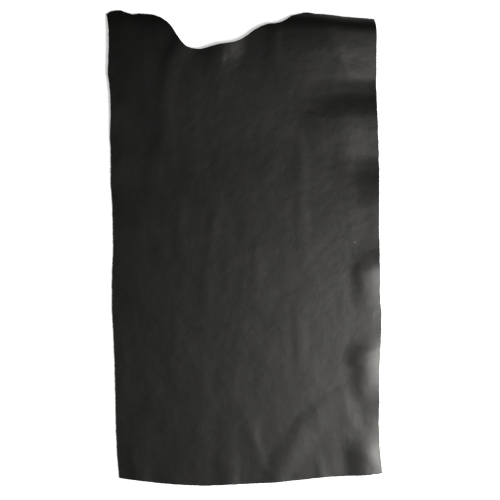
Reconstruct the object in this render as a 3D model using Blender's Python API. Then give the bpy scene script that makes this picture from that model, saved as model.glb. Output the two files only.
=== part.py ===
"""Black leather hide: one cut panel, lying grain side up on a flat surface.

The panel is one sheet of leather. Its far end is the natural end of the hide, with a wide shallow
notch, and it keeps the curl of the roll: the end lifts into a low arch and comes down on its edge.
The right side is ruffled, with lifted waves near the far end and a rolled edge further down.
The rest lies flat on the surface, but for a few long soft folds.

The frame is the panel's own: origin on the surface under the middle of the panel, +Y along its length
to the notched end, +X to the ruffled side, +Z up. The tables are in millimetres, the mesh in metres.
"""

from collections import namedtuple

import bmesh
import bpy
import numpy as np

MM = 0.001
THICKNESS = 2.5
# The tables' own zero lies this far from the middle of the finished panel, which is the origin.
TABLE_MIDDLE_X = 0.8
TABLE_MIDDLE_Y = 0.2

# The cut outline, seen from above. Ends run from left to right, sides from the near end to the far end.
OutlinePoint = namedtuple("OutlinePoint", "x y")
FAR_END = [OutlinePoint(*row) for row in (
    (-347, 590), (-333, 598), (-315, 600), (-299, 595), (-280, 589), (-262, 591), (-237, 589),
    (-212, 582), (-196, 572), (-183, 559), (-170, 539), (-157, 521), (-145, 508.5), (-130, 503.5),
    (-112, 501.5), (-90, 506.5), (-60, 514), (-30, 518.5), (-10, 525), (8, 536), (26, 549),
    (44, 559), (62, 564.5), (88, 567.5), (106, 575.5), (120, 585), (138, 590), (157, 594),
    (180, 590), (216, 587), (256, 582), (292, 579.5), (329.5, 577))]
NEAR_END = [OutlinePoint(*row) for row in (
    (-315.5, -580.5), (-258, -588.5), (-188, -596), (-97, -600), (-6, -596), (75, -592),
    (146, -585), (227, -577), (297, -574), (348, -568))]
LEFT_SIDE = [OutlinePoint(*row) for row in (
    (-315.5, -580.5), (-320, -520), (-323, -455), (-325, -370), (-327, -288), (-331, -197),
    (-333.5, -131), (-333, -61), (-330.5, -5), (-333, 106), (-336.5, 167), (-336, 222),
    (-338.5, 288), (-336.5, 333), (-338, 394), (-343, 445), (-341.5, 485), (-341, 545), (-347, 590))]
RIGHT_SIDE = [OutlinePoint(*row) for row in (
    (348, -568), (345.5, -535), (341.5, -495), (341.5, -470), (340.5, -440), (341.5, -395),
    (341, -313), (343.5, -258), (346.5, -217), (347, -177), (343.5, -121), (343, -35), (340.8, 81),
    (341.5, 177), (339, 258), (336.5, 318), (334.2, 379), (333, 439), (333.5, 546), (329.5, 577))]

# The curled far end, a row for each station across the panel. foot_y is where the curl comes down,
# crest_y and crest_height are the top of the arch, bend is how late its outer side turns down (2 is a
# parabola, more keeps it level for longer) and back is how far the arch slopes down inwards.
EndStation = namedtuple("EndStation", "x foot_y crest_y crest_height bend back")
END_CURL = (
    EndStation(-347, 593, 502, 8, 5, 330),
    EndStation(-305, 600, 506, 9, 5, 330),
    EndStation(-230, 592, 502, 9.5, 5, 330),
    EndStation(-150, 592, 502, 9.5, 4.6, 330),
    EndStation(-60, 592, 514, 8.5, 4, 320),
    EndStation(40, 592, 536, 10.5, 3, 320),
    EndStation(130, 593, 545, 14, 2.5, 300),
    EndStation(200, 589, 546, 15.5, 2.4, 290),
    EndStation(260, 582, 542, 15, 2.4, 280),
    EndStation(330, 577, 538, 13.5, 2.4, 260),
)

# The ruffled right side, a row for each turn along it. lift is the height of the free edge itself, and
# reach is how far in it fades out. roll is the height of a ridge that runs beside the edge: inset is how
# far it lies from the edge, where its outer side comes down, and flank is the width of its inner side.
RuffleStation = namedtuple("RuffleStation", "y lift reach roll inset flank")
RIGHT_RUFFLE = (
    RuffleStation(560, 0, 140, 2.6, 106, 90),
    RuffleStation(505, 0, 140, 2.4, 102, 90),
    RuffleStation(470, 0, 140, 1, 80, 70),
    RuffleStation(426, 0, 240, 0.2, 60, 60),
    RuffleStation(395, 3.2, 240, 0, 40, 60),
    RuffleStation(358, 8, 240, 0, 40, 60),
    RuffleStation(330, 9.4, 240, 0, 40, 60),
    RuffleStation(304, 9, 230, 0, 40, 60),
    RuffleStation(262, 6.4, 170, 0, 40, 60),
    RuffleStation(225, 3.8, 120, 0, 40, 60),
    RuffleStation(192, 5.4, 100, 0, 40, 50),
    RuffleStation(158, 7.8, 100, 0, 40, 50),
    RuffleStation(122, 6.8, 95, 0, 44, 40),
    RuffleStation(80, 3, 95, 0, 44, 40),
    RuffleStation(30, 1.6, 90, 0, 46, 36),
    RuffleStation(4, 2, 80, 0, 46, 36),
    RuffleStation(-34, 4.4, 72, 0.5, 44, 36),
    RuffleStation(-62, 2, 64, 2.3, 44, 36),
    RuffleStation(-90, 0.4, 60, 2, 38, 40),
    RuffleStation(-130, 0, 60, 1.3, 34, 44),
    RuffleStation(-190, 0.2, 60, 0.5, 30, 48),
    RuffleStation(-217, 0.6, 60, 0.6, 34, 50),
    RuffleStation(-240, 0.3, 60, 1.5, 37, 58),
    RuffleStation(-262, 0, 60, 3, 38, 62),
    RuffleStation(-285, 0, 60, 3.4, 36, 62),
    RuffleStation(-310, 0, 60, 2.4, 32, 50),
    RuffleStation(-340, 0.5, 60, 2, 32, 46),
    RuffleStation(-369, 1.8, 60, 1.2, 38, 40),
    RuffleStation(-400, 2, 60, 0.4, 36, 40),
    RuffleStation(-428, 0.6, 60, 0.4, 28, 50),
    RuffleStation(-460, 0, 60, 0.9, 30, 60),
    RuffleStation(-485, 0, 60, 1.8, 36, 70),
    RuffleStation(-520, 0, 40, 3.3, 38, 64),
    RuffleStation(-550, 1.5, 34, 4.2, 38, 62),
    RuffleStation(-575, 2, 34, 4.4, 38, 62),
)

# Long soft folds over the panel, a row for each section along a fold: the crest's place and height, and
# how wide the fold is to the left and to the right of its crest as seen with the far end on top. The rows
# run from the far end to the near end. The upper wave runs inwards from the right side, so its left is
# the side towards the far end.
FoldSection = namedtuple("FoldSection", "x y height left right")
FOLDS = {
    "notch left": (
        FoldSection(-152, 545, 2.4, 32, 46), FoldSection(-168, 505, 1.9, 30, 44),
        FoldSection(-187, 465, 1.1, 30, 48), FoldSection(-194, 420, 0.8, 32, 54),
        FoldSection(-198, 370, 0.65, 34, 58), FoldSection(-203, 310, 0.55, 34, 60),
        FoldSection(-214, 260, 0.45, 34, 60), FoldSection(-228, 205, 0.3, 34, 60),
        FoldSection(-240, 160, 0, 34, 60)),
    "notch right": (
        FoldSection(-46, 560, 9, 80, 58), FoldSection(-48, 505, 5.6, 80, 60),
        FoldSection(-52, 474, 2.6, 76, 66), FoldSection(-57, 448, 1.1, 66, 80),
        FoldSection(-62, 420, 0.4, 60, 90), FoldSection(-64, 390, 0, 60, 90)),
    "upper wave": (
        FoldSection(372, 328, 3.6, 66, 110), FoldSection(300, 326, 3.6, 66, 110),
        FoldSection(250, 326, 4, 66, 106), FoldSection(218, 330, 3.6, 60, 90),
        FoldSection(192, 336, 1.6, 52, 66), FoldSection(170, 342, 0, 50, 60)),
    "inner ruffle": (
        FoldSection(262, 300, 0, 40, 40), FoldSection(254, 220, 0.7, 44, 50),
        FoldSection(248, 90, 0.5, 40, 50), FoldSection(258, -20, 0, 40, 40)),
    "near right diagonal": (
        FoldSection(282, -338, 0, 26, 50), FoldSection(240, -372, 0.4, 28, 56),
        FoldSection(186, -417, 0.7, 34, 60), FoldSection(152, -455, 0.95, 40, 60),
        FoldSection(126, -500, 1.15, 46, 54), FoldSection(94, -560, 1.4, 52, 40),
        FoldSection(76, -604, 1.4, 50, 36)),
    "near middle": (
        FoldSection(10, -405, 0, 66, 24), FoldSection(14, -432, 0.2, 66, 24),
        FoldSection(21, -465, 0.46, 60, 22), FoldSection(30, -500, 0.42, 50, 20),
        FoldSection(42, -535, 0.18, 40, 18), FoldSection(54, -560, 0, 34, 18)),
}
PATH_STEPS = 8

# Rows and columns of the sheet's mesh: how many cells lie in each zone and the share they span.
# Columns run from left to right and rows from the near end to the far end.
Zone = namedtuple("Zone", "cells share")
COLUMN_ZONES = (Zone(9, 0.31), Zone(16, 0.46), Zone(12, 0.23))
ROW_ZONES = (Zone(31, 0.63), Zone(14, 0.24), Zone(12, 0.13))


def smooth_curve(knots, values, at):
    """A smooth curve through the rows of a table that never swings past them."""
    knots = np.asarray(knots, float)
    values = np.asarray(values, float)
    rates = np.diff(values) / np.diff(knots)
    before, after = rates[:-1], rates[1:]
    same_way = before * after > 0
    total = np.where(same_way, before + after, 1.0)
    inner = np.where(same_way, 2 * before * after / total, 0.0)
    slopes = np.concatenate((rates[:1], inner, rates[-1:]))
    at = np.clip(np.asarray(at, float), knots[0], knots[-1])
    cell = np.clip(np.searchsorted(knots, at) - 1, 0, len(rates) - 1)
    span = knots[cell + 1] - knots[cell]
    t = (at - knots[cell]) / span
    ease = t * t * (3 - 2 * t)
    leave = t * (1 - t) ** 2 * span
    arrive = t * t * (t - 1) * span
    return (values[cell] * (1 - ease) + values[cell + 1] * ease
            + slopes[cell] * leave + slopes[cell + 1] * arrive)


def table_column(rows, key, name, at):
    """One named column of a table, read smoothly at a place between its rows."""
    rows = sorted(rows, key=lambda row: getattr(row, key))
    return smooth_curve([getattr(row, key) for row in rows], [getattr(row, name) for row in rows], at)


def hump(distance):
    """One at distance 0, falling softly to nothing at distance 1."""
    return np.cos(0.5 * np.pi * np.clip(distance, 0, 1)) ** 2


def curl(distance, bend=2):
    """One at distance 0, falling ever more steeply to nothing at distance 1."""
    return 1 - np.clip(distance, 0, 1) ** bend


def end_curl_height(x, y):
    """The low arch that the far end keeps from the roll."""
    foot, crest, height, bend, back = (table_column(END_CURL, "x", name, x)
                                       for name in ("foot_y", "crest_y", "crest_height", "bend", "back"))
    front_side = curl((y - crest) / (foot - crest), bend)
    back_side = hump(np.clip((crest - y) / back, 0, 1) ** 0.85)
    return height * np.where(y > crest, front_side, back_side)


def right_ruffle_height(x, y):
    """The waves and the rolled edge of the right side."""
    from_edge = table_column(RIGHT_SIDE, "y", "x", y) - x
    lift, reach, roll, inset, flank = (table_column(RIGHT_RUFFLE, "y", name, y)
                                       for name in ("lift", "reach", "roll", "inset", "flank"))
    free_edge = (1 - np.clip(from_edge / reach, 0, 1)) ** 1.4
    outer = curl(1 - from_edge / inset)
    inner = hump((from_edge - inset) / flank)
    return lift * free_edge + roll * np.where(from_edge < inset, outer, inner)


def fold_height(sections, x, y):
    """A long soft fold whose crest runs smoothly through its sections."""
    crest_line = np.array([(section.x, section.y) for section in sections], float)
    along = np.concatenate(((0,), np.cumsum(np.hypot(*np.diff(crest_line, axis=0).T))))
    stops = np.linspace(0, along[-1], PATH_STEPS * (len(sections) - 1) + 1)
    px, py, height, left, right = (smooth_curve(along, column, stops) for column in zip(*sections))
    rise = np.zeros_like(x)
    for i in range(len(stops) - 1):
        dx, dy = px[i + 1] - px[i], py[i + 1] - py[i]
        t = np.clip(((x - px[i]) * dx + (y - py[i]) * dy) / (dx * dx + dy * dy), 0, 1)
        off_x, off_y = x - px[i] - t * dx, y - py[i] - t * dy
        side = np.where(dx * off_y - dy * off_x > 0, right[i], left[i])
        crest = height[i] + t * (height[i + 1] - height[i])
        rise = np.maximum(rise, crest * hump(np.hypot(off_x, off_y) / side))
    return rise


def panel_height(x, y):
    """Height of the panel's underside over the surface it lies on."""
    height = end_curl_height(x, y) + right_ruffle_height(x, y)
    for sections in FOLDS.values():
        height = height + fold_height(sections, x, y)
    return np.maximum(height, 0)


def outline_place(across, up):
    """The point of the cut panel at a share of the way across and of the way up."""
    far_x = FAR_END[0].x + across * (FAR_END[-1].x - FAR_END[0].x)
    near_x = NEAR_END[0].x + across * (NEAR_END[-1].x - NEAR_END[0].x)
    left_y = LEFT_SIDE[0].y + up * (LEFT_SIDE[-1].y - LEFT_SIDE[0].y)
    right_y = RIGHT_SIDE[0].y + up * (RIGHT_SIDE[-1].y - RIGHT_SIDE[0].y)
    far = np.array((far_x, table_column(FAR_END, "x", "y", far_x)))
    near = np.array((near_x, table_column(NEAR_END, "x", "y", near_x)))
    left = np.array((table_column(LEFT_SIDE, "y", "x", left_y), left_y))
    right = np.array((table_column(RIGHT_SIDE, "y", "x", right_y), right_y))
    corners = [np.array(corner, float).reshape(2, 1)
               for corner in (NEAR_END[0], NEAR_END[-1], FAR_END[0], FAR_END[-1])]
    ends = (1 - up) * near + up * far
    sides = (1 - across) * left + across * right
    flat = ((1 - up) * ((1 - across) * corners[0] + across * corners[1])
            + up * ((1 - across) * corners[2] + across * corners[3]))
    return ends + sides - flat


def zone_stops(zones):
    """Where the cells' borders lie, from 0 to 1, with each zone's cells evenly spaced."""
    stops = [0.0]
    for zone in zones:
        start = stops[-1]
        stops += [start + zone.share * (i + 1) / zone.cells for i in range(zone.cells)]
    return np.array(stops) / stops[-1]


def leather_material():
    """Satin black finished leather."""
    material = bpy.data.materials.new("black_leather")
    material.use_nodes = True
    shader = material.node_tree.nodes["Principled BSDF"]
    shader.inputs["Base Color"].default_value = (0.014, 0.013, 0.013, 1)
    shader.inputs["Roughness"].default_value = 0.45
    shader.inputs["Metallic"].default_value = 0.0
    return material


def hide_panel():
    """The whole hide: a grid laid into the outline, lifted into its folds and given its thickness."""
    across_stops = zone_stops(COLUMN_ZONES)
    up_stops = zone_stops(ROW_ZONES)
    columns, rows = len(across_stops) - 1, len(up_stops) - 1
    mesh = bpy.data.meshes.new("hide")
    grid = bmesh.new()
    bmesh.ops.create_grid(grid, x_segments=columns, y_segments=rows, size=0.5)
    cells = np.array([(vert.co.x + 0.5, vert.co.y + 0.5) for vert in grid.verts])
    across = across_stops[np.rint(cells[:, 0] * columns).astype(int)]
    up = up_stops[np.rint(cells[:, 1] * rows).astype(int)]
    x, y = outline_place(across, up)
    places = np.stack((x - TABLE_MIDDLE_X, y - TABLE_MIDDLE_Y, panel_height(x, y)), axis=1)
    for vert, place in zip(grid.verts, places):
        vert.co = place * MM
    grid.to_mesh(mesh)
    grid.free()
    mesh.materials.append(leather_material())
    mesh.shade_smooth()
    hide = bpy.data.objects.new("hide", mesh)
    bpy.context.scene.collection.objects.link(hide)
    thickness = hide.modifiers.new("Leather thickness", "SOLIDIFY")
    thickness.thickness = THICKNESS * MM
    thickness.offset = 1
    thickness.use_even_offset = True
    return hide


for old in list(bpy.data.objects):
    bpy.data.objects.remove(old, do_unlink=True)
hide_panel()
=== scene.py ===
import math
from collections import namedtuple

import bmesh
import bpy
import numpy as np
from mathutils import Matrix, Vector, noise


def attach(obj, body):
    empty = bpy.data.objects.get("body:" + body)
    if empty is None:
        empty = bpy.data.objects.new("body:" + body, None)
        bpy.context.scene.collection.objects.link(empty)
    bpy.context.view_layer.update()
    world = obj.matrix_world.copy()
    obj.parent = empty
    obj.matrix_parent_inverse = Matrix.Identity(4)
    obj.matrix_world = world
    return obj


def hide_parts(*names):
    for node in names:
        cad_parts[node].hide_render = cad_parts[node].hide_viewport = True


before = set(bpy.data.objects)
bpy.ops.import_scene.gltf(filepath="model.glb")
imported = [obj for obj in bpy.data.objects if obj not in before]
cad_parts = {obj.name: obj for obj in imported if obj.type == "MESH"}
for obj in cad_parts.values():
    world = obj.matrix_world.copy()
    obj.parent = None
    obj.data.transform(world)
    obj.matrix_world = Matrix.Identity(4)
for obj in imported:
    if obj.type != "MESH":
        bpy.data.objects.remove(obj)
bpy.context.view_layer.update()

# A black leather hide, laid grain side up.
# Tables are in millimetres from the middle of the cut panel, and meshes are in metres.
mm = 0.001


# Curves through short tables, and the two shapes that a fold's side can have

def smoothCurve(knots, values, at):
    # never swings past the rows it runs through
    knots = np.asarray(knots, float)
    values = np.asarray(values, float)
    rates = np.diff(values) / np.diff(knots)
    before, after = rates[:-1], rates[1:]
    sameWay = before * after > 0
    total = np.where(sameWay, before + after, 1.0)
    inner = np.where(sameWay, 2 * before * after / total, 0.0)
    slopes = np.concatenate((rates[:1], inner, rates[-1:]))
    at = np.clip(np.asarray(at, float), knots[0], knots[-1])
    cell = np.clip(np.searchsorted(knots, at) - 1, 0, len(rates) - 1)
    span = knots[cell + 1] - knots[cell]
    t = (at - knots[cell]) / span
    ease = t * t * (3 - 2 * t)
    bend = slopes[cell] * t * (1 - t) ** 2 + slopes[cell + 1] * t * t * (t - 1)
    return values[cell] * (1 - ease) + values[cell + 1] * ease + bend * span


def column(rows, key, name, at):
    rows = sorted(rows, key=lambda row: getattr(row, key))
    knots = [getattr(row, key) for row in rows]
    return smoothCurve(knots, [getattr(row, name) for row in rows], at)


def hump(distance):
    return np.cos(0.5 * np.pi * np.clip(distance, 0, 1)) ** 2


def curl(distance, bend=2):
    # the lower the bend, the sooner the side falls
    return 1 - np.clip(distance, 0, 1) ** bend


# The cut panel: its outline, ends from left to right and sides from the near end to the far end

point = namedtuple("point", "x y")

panel = {
    "thickness": 2.5,               # of the leather
    "middle": point(0.8, 0.2),      # middle of the laid panel's box
    "cellsAcross": 150,
    "cellsAlong": 250,
    "farEnd": [point(*row) for row in (
        (-347, 590), (-333, 598), (-315, 600), (-299, 595), (-280, 589), (-262, 591), (-237, 589),
        (-212, 582), (-196, 572), (-183, 559), (-170, 539), (-157, 521), (-145, 508.5),
        (-130, 503.5), (-112, 501.5), (-90, 506.5), (-60, 514), (-30, 518.5), (-10, 525), (8, 536),
        (26, 549),
        (44, 559), (62, 564.5), (88, 567.5), (106, 575.5), (120, 585), (138, 590), (157, 594),
        (180, 590), (216, 587), (256, 582), (292, 579.5), (329.5, 577))],
    "nearEnd": [point(*row) for row in (
        (-315.5, -580.5), (-258, -588.5), (-188, -596), (-97, -600), (-6, -596), (75, -592),
        (146, -585), (227, -577), (297, -574), (348, -568))],
    "leftSide": [point(*row) for row in (
        (-315.5, -580.5), (-320, -520), (-323, -455), (-325, -370), (-327, -288), (-331, -197),
        (-333.5, -131), (-333, -61), (-330.5, -5), (-333, 106), (-336.5, 167), (-336, 222),
        (-338.5, 288), (-336.5, 333), (-338, 394), (-343, 445), (-341.5, 485), (-341, 545),
        (-347, 590))],
    "rightSide": [point(*row) for row in (
        (348, -568), (345.5, -535), (341.5, -495), (341.5, -470), (340.5, -440), (341.5, -395),
        (341, -313), (343.5, -258), (346.5, -217), (347, -177), (343.5, -121), (343, -35),
        (340.8, 81), (341.5, 177), (339, 258), (336.5, 318), (334.2, 379), (333, 439),
        (333.5, 546), (329.5, 577))],
    "raggedDepth": 1.1,             # how far the knife's line wanders
    "raggedFade": 7.0,              # how far in from the edge that is felt
    "raggedCoarse": (19, 0.65),     # width of its slow turns, and their share
    "raggedFine": (4.5, 0.55),      # and of its quick ones
    "raggedRight": 1.25,            # the right side was cut the least evenly
    "rightFrom": 300,               # where that side begins
    "rimCuts": 3,                   # extra points on every cell's side along the edge
    "arrisWidth": 0.8,              # the rubbed, rounded corners of the cut edge
}


def endCurve(points, x):
    return column(points, "x", "y", x)


def sideCurve(points, y):
    return column(points, "y", "x", y)


def outlinePlace(across, along):
    # four edge curves blended over the sheet, less what their corners count twice
    far, near = panel["farEnd"], panel["nearEnd"]
    left, right = panel["leftSide"], panel["rightSide"]
    farX = far[0].x + across * (far[-1].x - far[0].x)
    nearX = near[0].x + across * (near[-1].x - near[0].x)
    leftY = left[0].y + along * (left[-1].y - left[0].y)
    rightY = right[0].y + along * (right[-1].y - right[0].y)
    farLine = np.array((farX, endCurve(far, farX)))
    nearLine = np.array((nearX, endCurve(near, nearX)))
    leftLine = np.array((sideCurve(left, leftY), leftY))
    rightLine = np.array((sideCurve(right, rightY), rightY))
    corners = [np.array(corner, float).reshape(2, 1)
               for corner in (near[0], near[-1], far[0], far[-1])]
    nearCorners = (1 - across) * corners[0] + across * corners[1]
    farCorners = (1 - across) * corners[2] + across * corners[3]
    ends = (1 - along) * nearLine + along * farLine
    sides = (1 - across) * leftLine + across * rightLine
    return ends + sides - (1 - along) * nearCorners - along * farCorners


def distanceFromEdge(x, y):
    # to the nearest side or end, with the slant of the notched end allowed for
    step = 1.0
    slant = (endCurve(panel["farEnd"], x + step) - endCurve(panel["farEnd"], x - step)) / (2 * step)
    toFar = (endCurve(panel["farEnd"], x) - y) / np.sqrt(1 + slant ** 2)
    toNear = y - endCurve(panel["nearEnd"], x)
    toLeft = x - sideCurve(panel["leftSide"], y)
    toRight = sideCurve(panel["rightSide"], y) - x
    return np.maximum(np.minimum.reduce((toFar, toNear, toLeft, toRight)), 0)


# The curled far end, the ruffled right side, the left side's faint ruffle, and the folds between

endRow = namedtuple("endRow", "x footY crestY crestHeight bend back")
ruffleRow = namedtuple("ruffleRow", "y lift reach roll inset flank")
foldRow = namedtuple("foldRow", "x y height left right")


def foldLine(*rows):
    return [foldRow(*row) for row in rows]


folds = {
    "farEnd": [endRow(*row) for row in (
        (-347, 593, 502, 8, 5, 330), (-305, 600, 506, 9, 5, 330), (-230, 592, 502, 9.5, 5, 330),
        (-150, 592, 502, 9.5, 4.6, 330), (-60, 592, 514, 8.5, 4, 320), (40, 592, 536, 10.5, 3, 320),
        (130, 593, 545, 14, 2.5, 300), (200, 589, 546, 15.5, 2.4, 290), (260, 582, 542, 15, 2.4, 280),
        (330, 577, 538, 13.5, 2.4, 260))],
    "rightSide": [ruffleRow(*row) for row in (
        (560, 0, 140, 2.6, 106, 90), (505, 0, 140, 2.4, 102, 90), (470, 0, 140, 1, 80, 70),
        (426, 0, 240, 0.2, 60, 60), (395, 3.2, 240, 0, 40, 60), (358, 8, 240, 0, 40, 60),
        (330, 9.4, 240, 0, 40, 60), (304, 9, 230, 0, 40, 60), (262, 6.4, 170, 0, 40, 60),
        (225, 3.8, 120, 0, 40, 60), (192, 5.4, 100, 0, 40, 50), (158, 7.8, 100, 0, 40, 50),
        (122, 6.8, 95, 0, 44, 40), (80, 3, 95, 0, 44, 40), (30, 1.6, 90, 0, 46, 36),
        (4, 2, 80, 0, 46, 36), (-34, 4.4, 72, 0.5, 44, 36), (-62, 2, 64, 2.4, 44, 36),
        (-90, 0.4, 60, 2.1, 38, 40), (-130, 0, 60, 1.4, 34, 44), (-190, 0.2, 60, 0.5, 30, 48),
        (-217, 0.6, 60, 0.5, 34, 50), (-240, 0.3, 60, 1.4, 35, 58), (-262, 0, 60, 3.4, 36, 60),
        (-285, 0, 60, 4, 37, 59), (-310, 0, 60, 2.8, 31, 51), (-340, 0.5, 60, 2, 32, 46),
        (-369, 1.8, 60, 1.2, 38, 40), (-400, 2, 60, 0.4, 36, 40), (-428, 0.6, 60, 0.4, 28, 50),
        (-460, 0, 60, 0.9, 30, 60), (-485, 0, 60, 1.8, 36, 70), (-520, 0, 40, 4.5, 36, 66),
        (-550, 1.5, 34, 4, 37, 62), (-575, 2, 34, 4.2, 38, 62))],
    "leftSide": [ruffleRow(*row) for row in (
        (420, 0, 80, 0, 30, 40), (330, 1.6, 90, 0, 30, 40), (262, 0.2, 90, 0, 30, 40),
        (205, 1.1, 80, 0, 30, 40), (120, 0, 80, 0, 30, 40), (-560, 0, 80, 0, 30, 40))],
    # long soft folds: crest and height at each turn, and how wide the slopes to its sides are
    "main": [
        foldLine((-152, 545, 2.4, 32, 46), (-168, 505, 1.9, 30, 44), (-187, 465, 1.1, 30, 48),
                 (-194, 420, 0.8, 32, 54), (-198, 370, 0.65, 34, 58), (-203, 310, 0.55, 34, 60),
                 (-214, 260, 0.45, 34, 60), (-228, 205, 0.3, 34, 60), (-240, 160, 0, 34, 60)),
        foldLine((-46, 560, 9, 80, 58), (-47, 516, 6.2, 80, 60), (-49, 497, 3.8, 80, 60),
                 (-52, 474, 2.0, 76, 66), (-57, 448, 1.0, 66, 80), (-62, 420, 0.4, 60, 90),
                 (-64, 390, 0, 60, 90)),
        foldLine((372, 328, 3.6, 66, 110), (300, 326, 3.6, 66, 110), (250, 326, 4, 66, 106),
                 (226, 329, 3.4, 62, 96), (203, 334, 1.6, 58, 80), (182, 340, 0.45, 56, 72),
                 (160, 345, 0, 54, 66)),
        foldLine((262, 300, 0, 40, 40), (254, 220, 0.7, 44, 50), (248, 90, 0.5, 40, 50),
                 (258, -20, 0, 40, 40)),
        foldLine((282, -338, 0, 26, 50), (240, -372, 0.4, 28, 56), (186, -417, 0.7, 34, 60),
                 (152, -455, 0.95, 40, 60), (126, -500, 1.15, 46, 54), (94, -560, 1.4, 52, 40),
                 (76, -604, 1.4, 50, 36)),
        foldLine((10, -405, 0, 66, 24), (14, -432, 0.2, 66, 24), (21, -465, 0.46, 60, 22),
                 (30, -500, 0.42, 50, 20), (42, -535, 0.18, 40, 18), (54, -560, 0, 34, 18))],
    "faint": [
        foldLine((-60, 190, 0, 24, 26), (-66, 130, 0.27, 24, 26), (-80, 50, 0.34, 24, 26),
                 (-90, -30, 0.24, 24, 26), (-98, -150, 0.2, 24, 26), (-104, -280, 0, 24, 26)),
        foldLine((-170, -140, 0, 22, 22), (-174, -200, 0.17, 22, 22), (-176, -290, 0, 22, 22)),
        foldLine((-160, 140, 0, 22, 22), (-165, 70, 0.27, 22, 22), (-163, -20, 0, 22, 22)),
        foldLine((138, 290, 0, 26, 30), (143, 215, 0.5, 26, 30), (142, 150, 0.3, 24, 30),
                 (145, 60, 0.42, 24, 30), (147, -20, 0.3, 24, 30), (150, -80, 0, 24, 30)),
        foldLine((28, 20, 0, 20, 28), (32, -50, 0.27, 20, 28), (30, -120, 0, 20, 28)),
        foldLine((132, -110, 0, 22, 30), (136, -190, 0.46, 22, 30), (140, -290, 0.3, 22, 30),
                 (140, -340, 0, 22, 30)),
        foldLine((158, -104, 0, 12, 16), (134, -114, 0.16, 12, 16), (108, -126, 0.14, 12, 16),
                 (90, -136, 0, 10, 14)),
        foldLine((-100, -270, 0, 30, 28), (-102, -370, 0.31, 30, 28), (-98, -460, 0, 30, 28)),
        foldLine((-38, -400, 0, 44, 34), (-37, -460, 0.3, 44, 34), (-36, -530, 0.5, 46, 32),
                 (-33, -606, 1.1, 46, 28)),
        foldLine((182, -505, 0, 18, 26), (192, -550, 0.4, 20, 26), (196, -590, 0.6, 20, 26)),
        foldLine((78, 540, 0.61, 28, 20), (82, 500, 0.48, 28, 20), (86, 450, 0, 28, 20)),
        foldLine((212, 550, 0, 24, 18), (229, 508, 0.6, 24, 20), (247, 475, 0.9, 24, 20),
                 (264, 452, 0.9, 22, 20), (292, 436, 0, 20, 18)),
        foldLine((262, -386, 0, 50, 32), (268, -428, 1.1, 56, 36), (268, -476, 0, 50, 32)),
        foldLine((-280, -470, 0, 26, 40), (-276, -530, 0.54, 26, 40), (-268, -596, 0.95, 26, 40))],
    "pathSteps": 8,                 # short straight pieces between two of a fold's rows
    "backEase": 0.85,               # how soon the arch of the far end falls behind its crest
    "liftEase": 1.4,                # and how soon a side's ruffle does on its way in
    # what the roll left all over the sheet: long faint waves down it, and small unevenness
    "waveWidth": 48,
    "waveLength": 78,
    "waveHeight": 0.6,
    "unevenWidth": 24,
    "unevenLength": 20,
    "unevenHeight": 0.3,
}


def farEndHeight(x, y):
    foot, crest, height, bend, back = (column(folds["farEnd"], "x", name, x) for name in
                                       ("footY", "crestY", "crestHeight", "bend", "back"))
    rise = hump(np.clip((crest - y) / back, 0, 1) ** folds["backEase"])
    return height * np.where(y > crest, curl((y - crest) / (foot - crest), bend), rise)


def ruffleHeight(rows, y, fromSide):
    lift, reach, roll, inset, flank = (column(rows, "y", name, y)
                                       for name in ("lift", "reach", "roll", "inset", "flank"))
    lifted = (1 - np.clip(fromSide / reach, 0, 1)) ** folds["liftEase"]
    inward = hump((fromSide - inset) / flank)
    rolled = np.where(fromSide < inset, curl(1 - fromSide / inset), inward)
    return lift * lifted + roll * rolled


def foldHeight(rows, x, y):
    crestLine = np.array([(row.x, row.y) for row in rows], float)
    along = np.concatenate(((0,), np.cumsum(np.hypot(*np.diff(crestLine, axis=0).T))))
    stops = np.linspace(0, along[-1], folds["pathSteps"] * (len(rows) - 1) + 1)
    px, py, height, left, right = (smoothCurve(along, values, stops) for values in zip(*rows))
    rise = np.zeros_like(x)
    for i in range(len(stops) - 1):
        dx, dy = px[i + 1] - px[i], py[i + 1] - py[i]
        t = np.clip(((x - px[i]) * dx + (y - py[i]) * dy) / (dx * dx + dy * dy), 0, 1)
        offX, offY = x - px[i] - t * dx, y - py[i] - t * dy
        side = np.where(dx * offY - dy * offX > 0, right[i], left[i])
        crest = height[i] + t * (height[i + 1] - height[i])
        rise = np.maximum(rise, crest * hump(np.hypot(offX, offY) / side))
    return rise


def rollWaves(x, y):
    # noise from 0 to 1, stretched along the sheet, and a smaller even one
    waves = np.empty_like(x)
    uneven = np.empty_like(x)
    waveWidth, waveLength = folds["waveWidth"], folds["waveLength"]
    unevenWidth, unevenLength = folds["unevenWidth"], folds["unevenLength"]
    for i, (px, py) in enumerate(zip(x, y)):
        waves[i] = noise.noise(Vector((px / waveWidth, py / waveLength, 3.1)))
        uneven[i] = noise.noise(Vector((px / unevenWidth, py / unevenLength, 8.7)))
    return folds["waveHeight"] * (0.5 + 0.5 * waves) + folds["unevenHeight"] * (0.5 + 0.5 * uneven)


def undersideHeight(x, y):
    height = farEndHeight(x, y) + rollWaves(x, y)
    height += ruffleHeight(folds["rightSide"], y, sideCurve(panel["rightSide"], y) - x)
    height += ruffleHeight(folds["leftSide"], y, x - sideCurve(panel["leftSide"], y))
    for rows in folds["main"] + folds["faint"]:
        height += foldHeight(rows, x, y)
    return height - height.min()


def evenNoise(x, y, width, layer):
    # one noise for each direction, and the same ones in every run
    return np.array([noise.noise(Vector((x / width, y / width, layer + step))) for step in (0, 20)])


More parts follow.
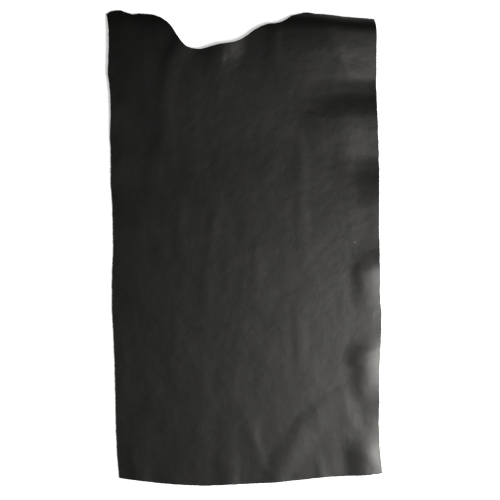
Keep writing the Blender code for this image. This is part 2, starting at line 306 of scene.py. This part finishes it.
def raggedShift(x, y, fromEdge):
    # the cut edge wanders by a coarse and a fine noise, and the sheet just inside it follows
    shift = np.zeros((len(x), 2))
    (coarseWidth, coarseShare), (fineWidth, fineShare) = panel["raggedCoarse"], panel["raggedFine"]
    fade = hump(fromEdge / panel["raggedFade"])
    fade = fade * np.where(x > panel["rightFrom"], panel["raggedRight"], 1.0)
    for i in np.flatnonzero(fade > 0):
        coarse = evenNoise(x[i], y[i], coarseWidth, 1.3)
        fine = evenNoise(x[i], y[i], fineWidth, 6.9)
        wander = coarseShare * coarse + fineShare * fine
        shift[i] = wander * panel["raggedDepth"] * fade[i]
    return shift


# Shader groups that more than one of the leather's faces uses

def newNode(tree, kind, settings=(), **values):
    node = tree.nodes.new(kind)
    for name, value in dict(settings).items():
        setattr(node, name, value)
    for name, value in values.items():
        node.inputs[name.replace("_", " ")].default_value = value
    return node


def newGroup(name, inputs, outputs):
    tree = bpy.data.node_groups.new(name, "ShaderNodeTree")
    for socketName, kind, value in inputs:
        socket = tree.interface.new_socket(name=socketName, in_out="INPUT", socket_type=kind)
        if value is not None:
            socket.default_value = value
    for socketName, kind in outputs:
        tree.interface.new_socket(name=socketName, in_out="OUTPUT", socket_type=kind)
    return tree, tree.nodes.new("NodeGroupInput").outputs, tree.nodes.new("NodeGroupOutput").inputs


def mathNode(tree, operation, first, second=None, clamp=False):
    node = tree.nodes.new("ShaderNodeMath")
    node.operation = operation
    node.use_clamp = clamp
    for i, value in enumerate((first, second)):
        if isinstance(value, (int, float)):
            node.inputs[i].default_value = value
        elif value is not None:
            tree.links.new(value, node.inputs[i])
    return node.outputs[0]


def rangeNode(tree, value, low, high, toLow=0.0, toHigh=1.0):
    node = newNode(tree, "ShaderNodeMapRange", {"interpolation_type": "SMOOTHSTEP"},
                   From_Min=low, From_Max=high, To_Min=toLow, To_Max=toHigh)
    tree.links.new(value, node.inputs["Value"])
    return node.outputs[0]


def noiseNode(tree, vector, scale, detail=2.0, rough=0.5, stretch=(1, 1, 1)):
    # scale is in features a metre
    mapping = newNode(tree, "ShaderNodeMapping", Scale=stretch)
    texture = newNode(tree, "ShaderNodeTexNoise", Scale=scale, Detail=detail, Roughness=rough)
    tree.links.new(vector, mapping.inputs["Vector"])
    tree.links.new(mapping.outputs[0], texture.inputs["Vector"])
    return texture.outputs[0]


def mixColors(tree, share, first, second):
    node = newNode(tree, "ShaderNodeMix", {"data_type": "RGBA"})
    tree.links.new(share, node.inputs[0])
    for socket, value in ((node.inputs[6], first), (node.inputs[7], second)):
        if isinstance(value, tuple):
            socket.default_value = (*value, 1)
        else:
            tree.links.new(value, socket)
    return node.outputs[2]


def makePebbleGroup():
    # close pebbles with finer ones between them, cut into patches by shallow creases, and a mask of
    # the hollows between the pebbles for painted shade
    tree, given, result = newGroup(
        "hidePebble",
        [("Vector", "NodeSocketVector", None), ("Pebble mm", "NodeSocketFloat", 1.1),
         ("Crease mm", "NodeSocketFloat", 8.0)],
        [("Height", "NodeSocketFloat"), ("Lumps", "NodeSocketFloat"), ("Hollow Shade", "NodeSocketFloat")])
    wobble = newNode(tree, "ShaderNodeTexNoise", Scale=420.0, Detail=2.0)
    tree.links.new(given["Vector"], wobble.inputs["Vector"])
    nudge = newNode(tree, "ShaderNodeVectorMath", {"operation": "SCALE"}, Scale=0.0011)
    tree.links.new(wobble.outputs[1], nudge.inputs[0])
    bent = newNode(tree, "ShaderNodeVectorMath", {"operation": "ADD"})
    tree.links.new(given["Vector"], bent.inputs[0])
    tree.links.new(nudge.outputs[0], bent.inputs[1])
    heights = []
    for size, feature, share in (("Pebble mm", "SMOOTH_F1", 1.0), ("Pebble mm", "F1", 0.45),
                                 ("Crease mm", "DISTANCE_TO_EDGE", 1.0)):
        cells = newNode(tree, "ShaderNodeTexVoronoi", {"feature": feature})
        tree.links.new(bent.outputs[0], cells.inputs["Vector"])
        tree.links.new(mathNode(tree, "DIVIDE", 1000.0 / share, given[size]), cells.inputs["Scale"])
        heights.append(cells.outputs["Distance"])
    domes = rangeNode(tree, heights[0], 0.55, 0.0)
    seeds = rangeNode(tree, heights[1], 0.6, 0.0)
    creases = rangeNode(tree, heights[2], 0.0, 0.10)
    patches = noiseNode(tree, given["Vector"], 22.0, 3.0)
    lumps = noiseNode(tree, given["Vector"], 60.0, 3.0, 0.58, (0.9, 1, 1))
    grain = mathNode(tree, "ADD", mathNode(tree, "MULTIPLY", domes, 0.62),
                     mathNode(tree, "MULTIPLY", seeds, 0.2))
    grain = mathNode(tree, "MULTIPLY", grain, rangeNode(tree, patches, 0.3, 0.7, 0.55, 1.0))
    grain = mathNode(tree, "ADD", grain, mathNode(tree, "MULTIPLY", creases, 0.3))
    tree.links.new(grain, result["Height"])
    tree.links.new(lumps, result["Lumps"])
    # the hollows between the pebbles, where the grain's colour is darkened as painted shade
    tree.links.new(rangeNode(tree, heights[0], 0.5, 0.75), result["Hollow Shade"])
    return tree


def makeGrowthGroup():
    # the animal's own clouds, and streaks along the hide where the finish took unevenly
    tree, given, result = newGroup(
        "hideGrowth", [("Vector", "NodeSocketVector", None)],
        [("Clouds", "NodeSocketFloat"), ("Streaks", "NodeSocketFloat")])
    clouds = noiseNode(tree, given["Vector"], 9.0, 5.0, 0.6)
    streaks = noiseNode(tree, given["Vector"], 24.0, 3.0, 0.55, (1, 0.4, 1))
    tree.links.new(rangeNode(tree, clouds, 0.28, 0.72), result["Clouds"])
    tree.links.new(rangeNode(tree, streaks, 0.3, 0.7), result["Streaks"])
    return tree


def makeFibreGroup():
    # loose fibre of the flesh side and of the cut edge
    tree, given, result = newGroup(
        "hideFibre", [("Vector", "NodeSocketVector", None), ("Fibre mm", "NodeSocketFloat", 0.5)],
        [("Height", "NodeSocketFloat"), ("Tone", "NodeSocketFloat")])
    texture = newNode(tree, "ShaderNodeTexNoise", Detail=5.0, Roughness=0.65, Distortion=0.8)
    tree.links.new(given["Vector"], texture.inputs["Vector"])
    tree.links.new(mathNode(tree, "DIVIDE", 1000.0, given["Fibre mm"]), texture.inputs["Scale"])
    brushed = noiseNode(tree, given["Vector"], 60.0, 3.0, 0.6)
    tree.links.new(texture.outputs[0], result["Height"])
    both = mathNode(tree, "ADD", mathNode(tree, "MULTIPLY", texture.outputs[0], 0.6),
                    mathNode(tree, "MULTIPLY", brushed, 0.4))
    tree.links.new(rangeNode(tree, both, 0.35, 0.65), result["Tone"])
    return tree


def makeWearGroup():
    # a broken line of rubbed finish along the cut edge, one where it is most rubbed
    tree, given, result = newGroup(
        "edgeRub", [("Vector", "NodeSocketVector", None), ("From Edge", "NodeSocketFloat", 1.0),
                    ("Width mm", "NodeSocketFloat", 2.0)],
        [("Rub", "NodeSocketFloat")])
    speckle = noiseNode(tree, given["Vector"], 260.0, 3.0, 0.6)
    widest = mathNode(tree, "MULTIPLY", given["Width mm"], 2 * mm)
    reach = mathNode(tree, "MULTIPLY", widest, speckle)
    share = mathNode(tree, "DIVIDE", given["From Edge"], reach)
    tree.links.new(rangeNode(tree, share, 1.0, 0.2), result["Rub"])
    return tree


shaderGroups = {"pebble": makePebbleGroup(), "growth": makeGrowthGroup(), "fibre": makeFibreGroup(),
                "rub": makeWearGroup()}


def placeGroup(tree, name, vector, **values):
    node = newNode(tree, "ShaderNodeGroup", {"node_tree": shaderGroups[name]}, **values)
    tree.links.new(vector, node.inputs["Vector"])
    return node


def newMaterial(name):
    material = bpy.data.materials.new(name)
    material.use_nodes = True
    tree = material.node_tree
    place = tree.nodes.new("ShaderNodeTexCoord").outputs["Object"]
    return material, tree, tree.nodes["Principled BSDF"], place


def joinBump(tree, shader, height, depth):
    bump = newNode(tree, "ShaderNodeBump", Strength=1.0, Distance=depth)
    tree.links.new(height, bump.inputs["Height"])
    tree.links.new(bump.outputs[0], shader.inputs["Normal"])


def setSheen(shader, sheen):
    shader.inputs["Sheen Weight"].default_value = sheen[0]
    shader.inputs["Sheen Roughness"].default_value = sheen[1]


grainLook = {
    "black": (0.0014, 0.0012, 0.0011),
    "thin": (0.0031, 0.0026, 0.0022),       # where the pigment is thinner
    # painted shade: the darker colour of the hollows between the pebbles
    "hollowShadeColor": (0.0008, 0.0008, 0.0008),
    "rubbed": (0.010, 0.0085, 0.0075),
    "roughLow": 0.395,
    "roughHigh": 0.425,
    "rubbedRough": 0.3,                     # how much rougher rubbed finish is
    "sheen": (0.04, 0.3),                   # its weight and roughness, felt only at a low view
    "pebble": 1.1,
    "crease": 8.0,
    "pebbleDepth": 0.075 * mm,
    "lumpDepth": 0.34 * mm,
    "rubWidth": 2.2,
    "scuff": (278.8, 15.0),                 # one small pale scuff by the right side
    "scuffSize": 2.6,
    "scuffColor": (0.16, 0.15, 0.14),
}


def grainMaterial():
    look = grainLook
    material, tree, shader, place = newMaterial("hide_grain")
    pebble = placeGroup(tree, "pebble", place, Pebble_mm=look["pebble"], Crease_mm=look["crease"])
    growth = placeGroup(tree, "growth", place)
    edge = newNode(tree, "ShaderNodeAttribute", {"attribute_name": "fromEdge"})
    rub = placeGroup(tree, "rub", place, Width_mm=look["rubWidth"])
    tree.links.new(edge.outputs["Fac"], rub.inputs["From Edge"])
    tone = mathNode(tree, "ADD", mathNode(tree, "MULTIPLY", growth.outputs["Clouds"], 0.7),
                    mathNode(tree, "MULTIPLY", growth.outputs["Streaks"], 0.3))
    color = mixColors(tree, tone, look["black"], look["thin"])
    # painted shade: the colour is darkened in the hollows between the pebbles
    hollowShade = mathNode(tree, "MULTIPLY", pebble.outputs["Hollow Shade"], 0.7)
    color = mixColors(tree, hollowShade, color, look["hollowShadeColor"])
    rubShare = mathNode(tree, "MULTIPLY", rub.outputs["Rub"], 0.8)
    color = mixColors(tree, rubShare, color, look["rubbed"])
    flatPlace = newNode(tree, "ShaderNodeMapping", Scale=(1, 1, 0))
    tree.links.new(place, flatPlace.inputs["Vector"])
    away = newNode(tree, "ShaderNodeVectorMath", {"operation": "DISTANCE"})
    away.inputs[1].default_value = (look["scuff"][0] * mm, look["scuff"][1] * mm, 0)
    tree.links.new(flatPlace.outputs[0], away.inputs[0])
    scuffEdge = look["scuffSize"] * mm
    scuff = rangeNode(tree, away.outputs["Value"], scuffEdge, scuffEdge * 0.3)
    color = mixColors(tree, scuff, color, look["scuffColor"])
    tree.links.new(color, shader.inputs["Base Color"])
    gloss = mathNode(tree, "ADD", mathNode(tree, "MULTIPLY", growth.outputs["Clouds"], 0.5),
                     mathNode(tree, "MULTIPLY", growth.outputs["Streaks"], 0.5))
    rough = rangeNode(tree, gloss, 0.0, 1.0, look["roughLow"], look["roughHigh"])
    rubRough = mathNode(tree, "MULTIPLY", rubShare, look["rubbedRough"])
    tree.links.new(mathNode(tree, "ADD", rough, rubRough, True), shader.inputs["Roughness"])
    setSheen(shader, look["sheen"])
    pebbles = mathNode(tree, "MULTIPLY", pebble.outputs["Height"], look["pebbleDepth"])
    lumps = mathNode(tree, "MULTIPLY", pebble.outputs["Lumps"], look["lumpDepth"])
    joinBump(tree, shader, mathNode(tree, "ADD", pebbles, lumps), 1.0)
    return material


fleshLook = {
    "deep": (0.010, 0.0090, 0.0080),
    "nap": (0.034, 0.030, 0.026),
    "rough": (0.98, 0.86),          # between the fibres and on them
    "sheen": (0.25, 0.5),
    "fibre": 0.7,
    "depth": 0.25 * mm,
}


def fleshMaterial():
    look = fleshLook
    material, tree, shader, place = newMaterial("hide_flesh_side")
    fibre = placeGroup(tree, "fibre", place, Fibre_mm=look["fibre"])
    growth = placeGroup(tree, "growth", place)
    tone = mathNode(tree, "MULTIPLY", fibre.outputs["Tone"],
                    rangeNode(tree, growth.outputs["Clouds"], 0.0, 1.0, 0.55, 1.0))
    tree.links.new(mixColors(tree, tone, look["deep"], look["nap"]), shader.inputs["Base Color"])
    rough = rangeNode(tree, fibre.outputs["Tone"], 0.0, 1.0, *look["rough"])
    tree.links.new(rough, shader.inputs["Roughness"])
    setSheen(shader, look["sheen"])
    joinBump(tree, shader, fibre.outputs["Height"], look["depth"])
    return material


cutLook = {
    "dark": (0.012, 0.010, 0.009),
    "fibre": (0.060, 0.047, 0.038),
    "rough": (0.7, 0.92),
    "width": 0.4,
    "depth": 0.3 * mm,
}


def cutEdgeMaterial():
    look = cutLook
    material, tree, shader, place = newMaterial("hide_cut_edge")
    fibre = placeGroup(tree, "fibre", place, Fibre_mm=look["width"])
    growth = placeGroup(tree, "growth", place)
    tone = mathNode(tree, "MULTIPLY", fibre.outputs["Tone"],
                    rangeNode(tree, growth.outputs["Clouds"], 0.0, 1.0, 0.35, 1.0))
    tree.links.new(mixColors(tree, tone, look["dark"], look["fibre"]), shader.inputs["Base Color"])
    rough = rangeNode(tree, fibre.outputs["Tone"], 0.0, 1.0, *look["rough"])
    tree.links.new(rough, shader.inputs["Roughness"])
    joinBump(tree, shader, fibre.outputs["Height"], look["depth"])
    return material


# The hide itself: one sheet with a grain side, a flesh side and a cut edge

def makeHide():
    sheet = bmesh.new()
    bmesh.ops.create_grid(sheet, x_segments=panel["cellsAcross"], y_segments=panel["cellsAlong"],
                          size=0.5)
    rim = [edge for edge in sheet.edges if edge.is_boundary]
    bmesh.ops.subdivide_edges(sheet, edges=rim, cuts=panel["rimCuts"])
    cells = np.array([vert.co[:2] for vert in sheet.verts]) + 0.5
    x, y = outlinePlace(cells[:, 0], cells[:, 1])
    fromEdge = distanceFromEdge(x, y)
    height = undersideHeight(x, y)
    shift = raggedShift(x, y, fromEdge)
    x = x + shift[:, 0] - panel["middle"].x
    y = y + shift[:, 1] - panel["middle"].y
    for vert, place in zip(sheet.verts, np.stack((x, y, height), axis=1)):
        vert.co = Vector(place) * mm
    mesh = bpy.data.meshes.new("leather_hide_sheet")
    sheet.to_mesh(mesh)
    sheet.free()
    edgeDistance = mesh.attributes.new("fromEdge", "FLOAT", "POINT")
    edgeDistance.data.foreach_set("value", (fromEdge * mm).astype(np.float32))
    mesh.shade_smooth()
    for material in (grainMaterial(), fleshMaterial(), cutEdgeMaterial()):
        mesh.materials.append(material)
    piece = bpy.data.objects.new("leather_hide_sheet", mesh)
    bpy.context.scene.collection.objects.link(piece)
    wall = piece.modifiers.new("Leather thickness", "SOLIDIFY")
    wall.thickness = panel["thickness"] * mm
    wall.offset = 1
    wall.use_even_offset = True
    wall.material_offset = 1
    wall.material_offset_rim = 2
    arris = piece.modifiers.new("Rubbed arris", "BEVEL")
    arris.width = panel["arrisWidth"] * mm
    arris.segments = 3
    arris.limit_method = "ANGLE"
    arris.angle_limit = math.radians(60)
    arris.harden_normals = True
    arris.material = 2
    return piece


hideSheet = makeHide()
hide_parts("hide")
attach(hideSheet, "root")
print("hide laid")


# Plain pale floor, soft light from the lower right, and the camera straight above

studio = {
    "floorSize": 60.0,
    "floorDrop": 0.3,
    "floorColor": (0.84, 0.84, 0.83),
    "glowNear": 0.5,
    "glowFar": 0.8,                 # so that the floor meets the sky without a line
    "glowFrom": (1.0, 4.5),         # where it starts to change and where it ends, in metres
    "skyOverhead": 0.05,            # what the hide reflects of the sky, from straight above
    "skyHigh": 0.008,               # to halfway down
    "skyLow": 0.8,                  # and near the horizon
    "skyLowFar": 0.07,              # darker there beyond the far end
    "skyShown": 0.86,               # what the camera sees of it
    "keyPlace": (1.62, -0.68, 2.43),    # the one soft light, in metres and watts
    "keyTarget": (0.1, 0, 0),
    "keySize": (1.2, 1.2),
    "keyPower": 117,
    "keyColor": (1.0, 0.985, 0.955),
    "photoHeight": 1263.0,          # what the frame takes in, in millimetres
    "frameMiddle": point(14.4, -5.05),
    "lens": 85.0,
}

floorMaterial, floorTree, floorShader, floorPlace = newMaterial("studio_floor")
floorShader.inputs["Base Color"].default_value = (*studio["floorColor"], 1)
floorShader.inputs["Roughness"].default_value = 0.9
floorShader.inputs["Specular IOR Level"].default_value = 0.1
floorShader.inputs["Emission Color"].default_value = (1, 1, 1, 1)
floorAway = newNode(floorTree, "ShaderNodeVectorMath", {"operation": "LENGTH"})
floorTree.links.new(floorPlace, floorAway.inputs[0])
floorGlow = rangeNode(floorTree, floorAway.outputs["Value"], *studio["glowFrom"],
                      studio["glowNear"], studio["glowFar"])
floorTree.links.new(floorGlow, floorShader.inputs["Emission Strength"])
floorGrid = bmesh.new()
bmesh.ops.create_grid(floorGrid, x_segments=1, y_segments=1, size=studio["floorSize"] / 2)
bmesh.ops.translate(floorGrid, verts=floorGrid.verts, vec=(0, 0, -studio["floorDrop"] * mm))
floorMesh = bpy.data.meshes.new("studio_floor")
floorGrid.to_mesh(floorMesh)
floorGrid.free()
floorMesh.materials.append(floorMaterial)
floor = bpy.data.objects.new("studio_floor", floorMesh)
bpy.context.scene.collection.objects.link(floor)

sky = bpy.data.worlds.new("studio_sky")
sky.use_nodes = True
bpy.context.scene.world = sky
skyTree = sky.node_tree
skyPlace = skyTree.nodes.new("ShaderNodeTexCoord")
skySplit = skyTree.nodes.new("ShaderNodeSeparateXYZ")
skyTree.links.new(skyPlace.outputs["Generated"], skySplit.inputs[0])
skyShown = skyTree.nodes.new("ShaderNodeLightPath").outputs["Is Camera Ray"]
skySides = rangeNode(skyTree, skySplit.outputs[1], 0.1, 0.6, studio["skyLow"], studio["skyLowFar"])
skyDown = rangeNode(skyTree, skySplit.outputs[2], 0.45, 0.04)
skyTop = rangeNode(skyTree, skySplit.outputs[2], 0.7, 0.98,
                   studio["skyHigh"], studio["skyOverhead"])
skyFelt = mathNode(skyTree, "ADD", mathNode(skyTree, "MULTIPLY", skySides, skyDown), skyTop)
skySeen = mathNode(skyTree, "MULTIPLY", skyShown, studio["skyShown"])
skyLevel = mathNode(skyTree, "MAXIMUM", skyFelt, skySeen)
skyTree.links.new(skyLevel, skyTree.nodes["Background"].inputs["Strength"])
skyTree.nodes["Background"].inputs["Color"].default_value = (1, 1, 1, 1)


def softBox(name, place, target, size, power, color):
    light = bpy.data.lights.new(name, "AREA")
    light.shape = "RECTANGLE"
    light.size, light.size_y = size
    light.energy = power
    light.color = color
    lamp = bpy.data.objects.new(name, light)
    lamp.location = place
    lamp.rotation_euler = (Vector(target) - Vector(place)).to_track_quat("-Z", "Y").to_euler()
    lamp.visible_camera = False
    bpy.context.scene.collection.objects.link(lamp)
    return lamp


softBox("key_softbox", studio["keyPlace"], studio["keyTarget"], studio["keySize"],
        studio["keyPower"], studio["keyColor"])

cameraData = bpy.data.cameras.new("photo_camera")
cameraData.lens = studio["lens"]
camera = bpy.data.objects.new("photo_camera", cameraData)
camera.location = (studio["frameMiddle"].x * mm, studio["frameMiddle"].y * mm,
                   studio["photoHeight"] * mm * studio["lens"] / cameraData.sensor_width)
bpy.context.scene.collection.objects.link(camera)
bpy.context.scene.camera = camera
bpy.context.scene.view_settings.view_transform = "Standard"
print("studio lit")
